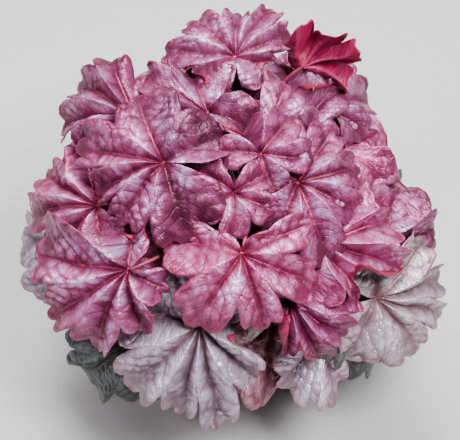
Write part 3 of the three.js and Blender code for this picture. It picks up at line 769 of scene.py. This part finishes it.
def stalkSkin():
    foot, tip, streak = map(colour, stalkForm["tints"])
    w = Wiring("stalk_pink")
    along = w.kept("stalkPlace", "Fac")
    streaks = w.grain(w.place(), 900.0, 3.0, 0.6)
    tint = w.blend(w.step(along, 0.0, 0.6), foot, tip)
    tint = w.blend(w.step(streaks, 0.4, 0.7, 0.0, 0.35), tint, streak)
    return w.finish(tint, 0.45, w.bump(streaks, 0.2 * mm, 0.6), Specular_IOR_Level=0.5)


def rootsOf(leaves):
    # spreads the stalks over the crown, each on its leaf's own side of it
    lowest = math.sin(math.radians(stalkForm["lowestRoot"]))
    roots = []
    for leaf in leaves:
        root = unit(leaf.hub)
        root[2] = lowest + (1 - lowest) * (root[2] + 1) / 2
        roots.append(Vector(unit(root)))
    spacing = stalkForm["rootSpacing"]
    for _ in range(stalkForm["rounds"]):
        for i, a in enumerate(roots):
            for b in roots[i + 1:]:
                apart = a - b
                short = spacing - apart.length
                if short > 0:
                    apart.length = short / 2
                    a += apart
                    b -= apart
        for root in roots:
            root.z = max(root.z, lowest)
            root.normalize()
    return [np.array(root) for root in roots]


def stalkLine(leaf, hub, root, bow, lift):
    # the four points of a stalk's curve
    size = np.array([plant["crownRadius"], plant["crownRadius"], plant["crownHeight"]], float)
    outward = unit(root / size)
    start = root * size + np.array([0, 0, plant["soilTop"]]) - stalkForm["rootDepth"] * outward
    end = hub + heart
    length = np.linalg.norm(end - start)
    leaving = unit(outward + np.array([0, 0, stalkForm["rise"]]))
    arriving = unit(leaf.midrib + 0.5 * leaf.normal)
    aside = unit(np.cross([0, 0, 1.0], end - start)) * bow + np.array([0, 0, lift])
    return [start, start + leaving * stalkForm["reach"] * length + 0.6 * aside,
            end - arriving * 0.7 * stalkForm["reach"] * length + aside, end]


def alongCurve(line, count):
    # evenly spaced points of the curve
    t = np.linspace(0, 1, 201)[:, None]
    a, b, c, d = line
    points = (1 - t) ** 3 * a + 3 * (1 - t) ** 2 * t * b + 3 * (1 - t) * t ** 2 * c + t ** 3 * d
    run = np.concatenate([[0], np.cumsum(np.linalg.norm(np.diff(points, axis=0), axis=1))])
    places = np.linspace(0, run[-1], count + 1)
    return np.stack([np.interp(places, run, points[:, k]) for k in range(3)], 1)


def solidStalk(leaf, hub, root):
    # of the ways that a stalk may take, the one that its solid's rings of corners lie round
    corners = pointsOf(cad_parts[leaf.name]) / mm
    ways = []
    for lift in stalkForm["lifts"]:
        for bow in stalkForm["bows"]:
            line = stalkLine(leaf, hub, root, bow, lift)
            joints = alongCurve(line, stalkForm["steps"])[1:-1]
            apart = np.linalg.norm(corners[None] - joints[:, None], axis=2)
            misfit = np.sort(np.abs(apart - stalkForm["radius"]), axis=1)[:, :5].sum()
            ways.append((misfit, len(ways), line))
    return min(ways)[2], min(ways)[0]


def makeStalk(leaf, line):
    selectNone()
    bpy.ops.curve.primitive_bezier_curve_add(radius=1)
    stalk = bpy.context.object
    curve = stalk.data
    first, last = curve.splines[0].bezier_points
    start, leave, arrive, end = (Vector(point * mm) for point in line)
    ends = ((first, start, start * 2 - leave, leave, stalkForm["footSize"]),
            (last, end, arrive, end * 2 - arrive, stalkForm["tipSize"]))
    for bend, at, before, after, thick in ends:
        bend.handle_left_type = bend.handle_right_type = "FREE"
        bend.co, bend.handle_left, bend.handle_right, bend.radius = at, before, after, thick
    curve.dimensions = "3D"
    curve.resolution_u = stalkForm["segments"]
    curve.bevel_depth = stalkForm["radius"] * mm
    curve.bevel_resolution = 2
    curve.use_fill_caps = True
    bpy.ops.object.convert(target="MESH")
    stalk = bpy.context.object
    points = pointsOf(stalk) / mm
    axis = alongCurve(line, stalkForm["marks"])
    nearest = np.linalg.norm(points[:, None] - axis[None], axis=2).argmin(1)
    keepOn(stalk, "stalkPlace", nearest / stalkForm["marks"])
    stalk.data.materials.append(stalkPink)
    bpy.ops.object.shade_smooth()
    return stalk


stalkPink = stalkSkin()
leaves = [Leaf(i, *row) for i, row in enumerate([*nearLeaves, *farLeaves()])]
for leaf, root in zip(leaves, rootsOf(leaves)):
    bend = bendShares(leaf)
    line, misfit = solidStalk(leaf, leaf.hub * bend[4], root)
    print(leaf.name, "share", round(bend[4], 4), "misfit", round(misfit, 2))
    blade = makeBlade(leaf, bend)
    stalk = makeStalk(leaf, line)
    piece = joined(stalk, blade)
    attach(piece, "root")
    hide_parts(leaf.name)
print("leaves made:", len(leaves))

potForm = {
    "height": 116, "baseRadius": 46, "rimRadius": 65, "wall": 2,
    "bandHeight": 15, "bandStep": 2, "bevel": 1.5,
    "sides": 128,
    "grooves": [82, 88],       # heights of two fine grooves round the wall
    "footWidth": 6.5, "footHeight": 1,
    "drains": 8, "drainRadius": 4.5, "drainRing": 34, "drainSides": 28,
    "tints": ("#212225", "#55565a", "#6a5c4e"),     # of the plastic, its scuffs and the dust on it
}
soilForm = {
    "foot": (43.4, 2.3), "waist": (52, 52),    # radius and height against the pot's wall
    "edge": 61.5, "top": 105, "swell": 4, "pocket": 98.7,
    "sides": 96, "rings": 34,
    "lumps": ((7.0, 1.3, 3.0), (2.4, 0.585, 9.0)),  # coarse and fine: size and height in mm, and a seed
    "strewn": (29, 61),        # between which radii the chips lie
    "crumbs": 420, "crumbSizes": (1.0, 3.4),
    "bark": 90, "barkSizes": (3.0, 8.5),
    "perlite": 36, "perliteSizes": (1.2, 3.0),
    # the dark and the light tint of each earth, and how fine it is
    "earths": {"compost": ("#17100b", "#46311f", 420), "bark_chip": ("#2a1a10", "#74502f", 600),
               "compost_crumb": ("#120c08", "#3d2a1b", 700)},
    "perliteTints": ("#8f887c", "#d9d5cb"),
}
crownForm = {
    "sides": 72, "rings": 16,
    "knobSize": 9.0, "roughness": 1.5,
    "stubs": 30, "stubLength": 8, "stubRadii": (2.4, 1.5),
    "tints": ("#241510", "#6b4431", "#7e3040", "#1b100c"),      # of two kinds of fibre, blushes and cracks
}
draws = random.Random(11)


def turned(name, rings, sides):
    # a closed round shape: each ring of radius and height is drawn out of the one before it
    selectNone()
    radius, height = rings[0]
    bpy.ops.mesh.primitive_circle_add(
        vertices=sides, radius=radius * mm, fill_type="NGON", location=(0, 0, height * mm))
    piece = bpy.context.object
    piece.name = piece.data.name = name
    settle(piece)
    editAll(piece)
    for (before, low), (after, high) in zip(rings, rings[1:]):
        bpy.ops.mesh.extrude_region_move(TRANSFORM_OT_translate={"value": (0, 0, (high - low) * mm)})
        share = after / before
        bpy.ops.transform.resize(value=(share, share, 1), center_override=(0, 0, high * mm))
    bpy.ops.mesh.select_all(action="SELECT")
    bpy.ops.mesh.normals_make_consistent(inside=False)
    leaveEdit()
    return piece


def potRings():
    # round the pot from its foot, up the outside, over the rim and down the inside
    form = potForm
    height, rim, wall, bevel = form["height"], form["rimRadius"], form["wall"], form["bevel"]
    wallTop, bandFoot, base = rim - form["bandStep"], height - form["bandHeight"], form["baseRadius"]

    def outside(z):
        return base + (wallTop - bevel - base) * (z - bevel) / (bandFoot - 2 * bevel)

    def inside(z):
        return base - wall + (wallTop - base) * (z - wall) / (height - bevel - wall)

    foot = base - form["footWidth"]
    rings = [(foot - 0.6, form["footHeight"]), (foot, form["footHeight"] - 0.2), (foot + 0.8, 0),
             (base - bevel, 0), (base - 0.5, 0.4), (outside(bevel), bevel)]
    rings += [(outside(z), z) for z in range(8, form["grooves"][0] - 4, 8)]
    for groove in form["grooves"]:
        rings += [(outside(groove - 1), groove - 1), (outside(groove) - 0.6, groove),
                  (outside(groove + 1), groove + 1)]
    rings += [(outside(bandFoot - bevel), bandFoot - bevel), (rim - bevel - 0.6, bandFoot - 0.4),
              (rim - bevel, bandFoot + 0.4), (rim - 0.3, height - 3.5), (rim, height - 2.4),
              (rim, height - 1), (rim - 0.3, height - 0.35), (rim - 0.9, height),
              (wallTop - bevel, height), (wallTop - wall + 0.2, height - 0.4),
              (inside(height - bevel), height - bevel)]
    return rings + [(inside(z), z) for z in (100, 75, 50, 25, wall + 1)] + [(inside(wall) - 1, wall)]


def cutDrains(pot):
    form, cutters = potForm, []
    for i in range(form["drains"]):
        angle = 2 * math.pi * i / form["drains"]
        selectNone()
        bpy.ops.mesh.primitive_cylinder_add(
            vertices=form["drainSides"], radius=form["drainRadius"] * mm, depth=10 * mm,
            location=(form["drainRing"] * math.cos(angle) * mm, form["drainRing"] * math.sin(angle) * mm, 0))
        cutters.append(bpy.context.object)
    selectOnly(*cutters)
    bpy.ops.object.join()
    cutter = bpy.context.object
    drain = pot.modifiers.new("drains", "BOOLEAN")
    drain.operation, drain.object, drain.solver = "DIFFERENCE", cutter, "EXACT"
    applyAll(pot)
    bpy.data.objects.remove(cutter)


def makePot():
    pot = turned("nursery-pot", potRings(), potForm["sides"])
    cutDrains(pot)
    pot.data.materials.append(potPlastic())
    bpy.ops.object.shade_smooth_by_angle(angle=math.radians(28))
    return pot


def potPlastic():
    plain, scuffed, dusted = map(colour, potForm["tints"])
    w = Wiring("pot_plastic")
    place = w.place()
    x, y, z = w.split(place)
    stretched = w.add("Mapping", Vector=place)
    stretched.inputs["Scale"].default_value = (1, 1, 0.12)
    scuffs = w.grain(stretched.outputs[0], 420, 4.0, 0.65)
    dust = w.grain(place, 26, 5.0, 0.65)
    pits = w.grain(place, 2600, 2.0, 0.5)
    low = w.step(z, 0.0, 0.035, 0.3, 0.0)
    tint = w.blend(w.step(scuffs, 0.55, 0.75, 0.0, 0.55), plain, scuffed)
    dusty = w.maths("ADD", w.step(dust, 0.48, 0.72, 0.0, 0.5), low)
    tint = w.blend(dusty, tint, dusted)
    # the mould left a fine seam on two sides
    seam = w.step(w.maths("ABSOLUTE", y), 0.1 * mm, 0.5 * mm, 1.0, 0.0)
    height = w.scaled(pits, 0.4, w.scaled(scuffs, 0.3, seam))
    rough = w.scaled(dusty, 0.3, w.scaled(scuffs, 0.25, 0.3))
    return w.finish(tint, rough, w.bump(height, 0.15 * mm, 0.7))


def compostEarth(name):
    dark, light, scale = soilForm["earths"][name]
    dark, light = colour(dark), colour(light)
    w = Wiring(name)
    place = w.place()
    crumbs = w.cells(place, scale)
    fibres = w.grain(place, 2.2 * scale, 4.0, 0.7)
    tint = w.blend(w.step(fibres, 0.3, 0.7), dark, light)
    tint = w.blend(w.step(crumbs, 0.0, 0.5, 0.6, 0.0), tint, dark)
    height = w.scaled(fibres, 0.6, crumbs)
    return w.finish(tint, w.scaled(fibres, 0.2, 0.78), w.bump(height, 0.6 * mm, 0.8))


def perliteGrain():
    w = Wiring("perlite")
    pits = w.grain(w.place(), 1500, 3.0, 0.6)
    tint = w.blend(w.step(pits, 0.35, 0.65), *map(colour, soilForm["perliteTints"]))
    return w.finish(tint, 0.85, w.bump(pits, 0.25 * mm, 0.8))


def crownBark():
    dark, light, blush, crack = map(colour, crownForm["tints"])
    w = Wiring("crown_wood")
    place = w.place()
    stretched = w.add("Mapping", Vector=place)
    stretched.inputs["Scale"].default_value = (1, 1, 0.35)
    fibres = w.grain(stretched.outputs[0], 520, 5.0, 0.7)
    scales = w.cells(place, 190)
    tint = w.blend(w.step(fibres, 0.3, 0.68), dark, light)
    tint = w.blend(w.step(w.grain(place, 70, 3.0, 0.6), 0.5, 0.75, 0.0, 0.5), tint, blush)
    tint = w.blend(w.step(scales, 0.1, 0.6, 0.5, 0.0), tint, crack)
    height = w.scaled(fibres, 0.7, scales)
    return w.finish(tint, w.scaled(fibres, 0.25, 0.62), w.bump(height, 0.8 * mm, 0.8))


def soilAt(radius):
    # height of the compost at a distance from the middle
    edge, middle = soilForm["edge"], plant["crownRadius"] + soilForm["swell"]
    rise = min(1, max(0, (edge - radius) / (edge - middle)))
    return soilForm["top"] + soilForm["swell"] * rise


def rough(points, spacing, height, seed):
    # how far each point stands out of a rough surface
    away = Vector((seed, 0, 0))
    outwards = [noise.fractal(Vector(point / spacing) + away, 0.8, 2.1, 3) for point in points]
    return np.array(outwards) * height


def scattered(count, paint, sizes, stretch):
    # chips strewn over the compost, each a copy of one rough grain with its own mesh
    selectNone()
    bpy.ops.mesh.primitive_ico_sphere_add(subdivisions=1, radius=0.5 * mm)
    grain = bpy.context.object
    grain.data.materials.append(paint)
    grainPoints = pointsOf(grain)
    chips = []
    for i in range(count):
        chip = twinOf(grain)
        outwards = 1 + rough(grainPoints / mm, 0.6, 0.35, 5.0 * i)
        movePoints(chip, grainPoints * outwards[:, None])
        radius = math.sqrt(draws.uniform(*(far ** 2 for far in soilForm["strewn"])))
        angle, size = draws.uniform(0, 2 * math.pi), draws.uniform(*sizes)
        chip.location = (radius * math.cos(angle) * mm, radius * math.sin(angle) * mm,
                         (soilAt(radius) + 0.15 * size) * mm)
        tilts = draws.uniform(-0.5, 0.5), draws.uniform(-0.5, 0.5)
        chip.rotation_euler = (*tilts, draws.uniform(0, 2 * math.pi))
        chip.scale = [size * share for share in stretch]
        chips.append(chip)
    bpy.data.objects.remove(grain)
    return chips


def makeCompost():
    form = soilForm
    top, edge, middle = form["top"], form["edge"], plant["crownRadius"] + form["swell"]
    inner = plant["crownRadius"] + plant["gap"]
    rings = [form["foot"], form["waist"], (edge, top - 1)]
    rings += [(edge + (middle - edge) * i / form["rings"], top + form["swell"] * i / form["rings"])
              for i in range(form["rings"] + 1)]
    rings += [(inner, top + form["swell"]), (inner, form["pocket"])]
    compost = turned("compost-fill", rings, form["sides"])
    points = pointsOf(compost) / mm
    bare = (points[:, 2] > top - 0.1) & (np.hypot(points[:, 0], points[:, 1]) > inner + 1)
    for lump, tall, seed in form["lumps"]:
        points[:, 2] += bare * rough(points, lump, tall, seed)
    movePoints(compost, points * mm)
    compost.data.materials.append(compostEarth("compost"))
    bark = compostEarth("bark_chip")
    crumb = compostEarth("compost_crumb")
    chips = scattered(form["crumbs"], crumb, form["crumbSizes"], (1, 0.8, 0.6))
    chips += scattered(form["bark"], bark, form["barkSizes"], (1, 0.42, 0.22))
    chips += scattered(form["perlite"], perliteGrain(), form["perliteSizes"], (1, 0.9, 0.85))
    joined(*chips, compost)
    bpy.ops.object.shade_smooth()
    return compost


def makeStubs(bark):
    # the stubs of old stalks
    form, radius = crownForm, plant["crownRadius"]
    centre, reach = np.array([0, 0, plant["soilTop"]]), np.array([radius, radius, plant["crownHeight"]])
    selectNone()
    foot, tip = form["stubRadii"]
    bpy.ops.mesh.primitive_cone_add(
        vertices=12, radius1=foot * mm, radius2=tip * mm, depth=form["stubLength"] * mm)
    stub = bpy.context.object
    editAll(stub)
    bpy.ops.mesh.subdivide(number_cuts=2)
    bpy.ops.mesh.bevel(offset=0.3 * mm, segments=1)
    leaveEdit()
    stub.data.materials.append(bark)
    stubPoints = pointsOf(stub)
    stubs = []
    for i in range(form["stubs"]):
        azimuth, up = draws.uniform(0, 360), draws.uniform(18, 80)
        way = direction(azimuth, up)
        twin = twinOf(stub)
        ragged = rough(stubPoints / mm, 3.0, 0.5, 13.0 * i)[:, None]
        movePoints(twin, stubPoints + stubPoints * [1, 1, 0] * ragged)
        twin.location = (centre + way * reach) * mm
        twin.rotation_euler = Vector(way + [0, 0, 0.5]).to_track_quat("Z", "Y").to_euler()
        twin.scale = [draws.uniform(0.7, 1.1)] * 2 + [draws.uniform(0.5, 1.0)]
        stubs.append(twin)
    bpy.data.objects.remove(stub)
    return stubs


def makeCrown():
    form, radius, height = crownForm, plant["crownRadius"], plant["crownHeight"]
    rings = [(radius, soilForm["pocket"] + plant["gap"]), (radius, plant["soilTop"])]
    for i in range(1, form["rings"]):
        angle = i * math.pi / 2 / form["rings"]
        rings.append((radius * math.cos(angle), plant["soilTop"] + height * math.sin(angle)))
    crown = turned("crown-wood", rings, form["sides"])
    points = pointsOf(crown) / mm
    centre = np.array([0, 0, plant["soilTop"]])
    outward = (points - centre) / np.array([radius ** 2, radius ** 2, height ** 2])
    outward /= np.maximum(np.linalg.norm(outward, axis=1), 1e-6)[:, None]
    dome = points[:, 2] > plant["soilTop"] + 0.5
    swell = rough(points, form["knobSize"], form["roughness"], 21.0) - 0.4 * form["roughness"]
    movePoints(crown, (points + outward * (dome * swell)[:, None]) * mm)
    crown.data.materials.append(crownBark())
    joined(*makeStubs(crown.data.materials[0]), crown)
    bpy.ops.object.shade_smooth_by_angle(angle=math.radians(50))
    return crown


for make, node, slot in ((makePot, "pot", "pot_plastic"), (makeCompost, "soil", "compost"),
                         (makeCrown, "crown", "crown_wood")):
    piece = make()
    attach(piece, "root")
    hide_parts(node)
    print("made", piece.name, len(piece.data.polygons), "faces")

# floor, light and camera
selectNone()
bpy.ops.mesh.primitive_plane_add(size=8)
floor = bpy.context.object
floor.name = "floor"
floorPaint = Wiring("floor_pale")
floor.data.materials.append(floorPaint.finish(colour("#b2b0ae"), 0.9))

view = {"elevation": 50, "distance": 1.4, "target": (0, 0, 0.128), "lens": 137.7}
rise = math.radians(view["elevation"])
bpy.ops.object.camera_add(
    location=(0, -view["distance"] * math.cos(rise), view["target"][2] + view["distance"] * math.sin(rise)),
    rotation=(math.radians(90) - rise, 0, 0))
camera = bpy.context.object
camera.data.lens = view["lens"]
bpy.context.scene.camera = camera

light = {"aim": (0, 0, 0.15), "tint": (0.94, 0.95, 1.0), "sky": (0.9, 0.93, 1.0, 1), "skyStrength": 0.07}
lamps = [
    # name, place, size, watts
    ("skyLamp", (-0.15, 0.5, 1.75), 0.8, 82),
    ("keyLamp", (0.55, -0.65, 1.65), 0.6, 68),
    ("fillLamp", (-1.4, -0.6, 1.1), 0.7, 15),
]
for name, place, size, watts in lamps:
    bpy.ops.object.light_add(type="AREA", location=place)
    lamp = bpy.context.object
    lamp.name = name
    lamp.data.size = size
    lamp.data.energy = watts
    lamp.data.color = light["tint"]
    lamp.rotation_euler = (Vector(light["aim"]) - lamp.location).to_track_quat("-Z", "Y").to_euler()
sky = bpy.data.worlds.new("softSky")
sky.use_nodes = True
backdrop = sky.node_tree.nodes["Background"].inputs
backdrop["Color"].default_value = light["sky"]
backdrop["Strength"].default_value = light["skyStrength"]
bpy.context.scene.world = sky
